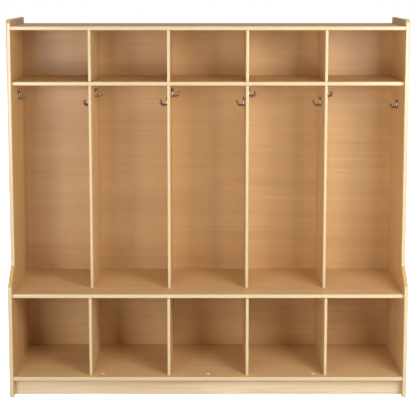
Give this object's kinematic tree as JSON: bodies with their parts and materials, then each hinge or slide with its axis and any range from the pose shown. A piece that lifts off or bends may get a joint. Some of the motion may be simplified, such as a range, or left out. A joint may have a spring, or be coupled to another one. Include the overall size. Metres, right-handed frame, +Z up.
{
  "type": "coat locker with bench",
  "caption": "Open wooden coat locker with a bench: hanging bays with double-prong hooks between a row of small cubbies above and larger ones below, on a kick board.",
  "frame": {"origin": "on the floor, under the middle of the unit's box", "axes": "+X to the right seen from the front, +Y from the open front towards the back, +Z up"},
  "size_m": [1.22, 0.381, 1.156],
  "materials": {
    "birch_plywood": "clear satin lacquer over birch plywood, front edges paler",
    "kick_board": "clear satin lacquer, grain along the board",
    "back_sheet": "thin birch sheet, satin, grain across the unit",
    "chrome_hook": "polished chrome plate",
    "steel_screw": "zinc plated steel",
    "white_cap": "moulded plastic, semi-matt"
  },
  "bodies": {
    "root": {"left_side_panel": "birch_plywood", "right_side_panel": "birch_plywood", "top_panel": "birch_plywood", "cubby_shelf": "birch_plywood", "bench_panel": "birch_plywood", "bottom_panel": "birch_plywood", "front_kick_board": "kick_board", "rear_kick_rail": "kick_board", "back_panel": "back_sheet", "cubby_divider_1": "birch_plywood", "cubby_divider_2": "birch_plywood", "cubby_divider_3": "birch_plywood", "cubby_divider_4": "birch_plywood", "hanging_divider_1": "birch_plywood", "hanging_divider_2": "birch_plywood", "hanging_divider_3": "birch_plywood", "hanging_divider_4": "birch_plywood", "lower_divider_1": "birch_plywood", "lower_divider_2": "birch_plywood", "lower_divider_3": "birch_plywood", "lower_divider_4": "birch_plywood", "coat_hook_1_left": "chrome_hook", "coat_hook_1_right": "chrome_hook", "coat_hook_2_left": "chrome_hook", "coat_hook_2_right": "chrome_hook", "coat_hook_3_left": "chrome_hook", "coat_hook_3_right": "chrome_hook", "coat_hook_4_left": "chrome_hook", "coat_hook_4_right": "chrome_hook", "coat_hook_5_left": "chrome_hook", "coat_hook_5_right": "chrome_hook", "hook_screw_1_left_upper": "steel_screw", "hook_screw_1_left_lower": "steel_screw", "hook_screw_1_right_upper": "steel_screw", "hook_screw_1_right_lower": "steel_screw", "hook_screw_2_left_upper": "steel_screw", "hook_screw_2_left_lower": "steel_screw", "hook_screw_2_right_upper": "steel_screw", "hook_screw_2_right_lower": "steel_screw", "hook_screw_3_left_upper": "steel_screw", "hook_screw_3_left_lower": "steel_screw", "hook_screw_3_right_upper": "steel_screw", "hook_screw_3_right_lower": "steel_screw", "hook_screw_4_left_upper": "steel_screw", "hook_screw_4_left_lower": "steel_screw", "hook_screw_4_right_upper": "steel_screw", "hook_screw_4_right_lower": "steel_screw", "hook_screw_5_left_upper": "steel_screw", "hook_screw_5_left_lower": "steel_screw", "hook_screw_5_right_upper": "steel_screw", "hook_screw_5_right_lower": "steel_screw", "kick_screw_1": "steel_screw", "kick_screw_cap_1": "white_cap", "kick_screw_2": "steel_screw", "kick_screw_cap_2": "white_cap", "kick_screw_3": "steel_screw", "kick_screw_cap_3": "white_cap"}
  },
  "joints": []
}
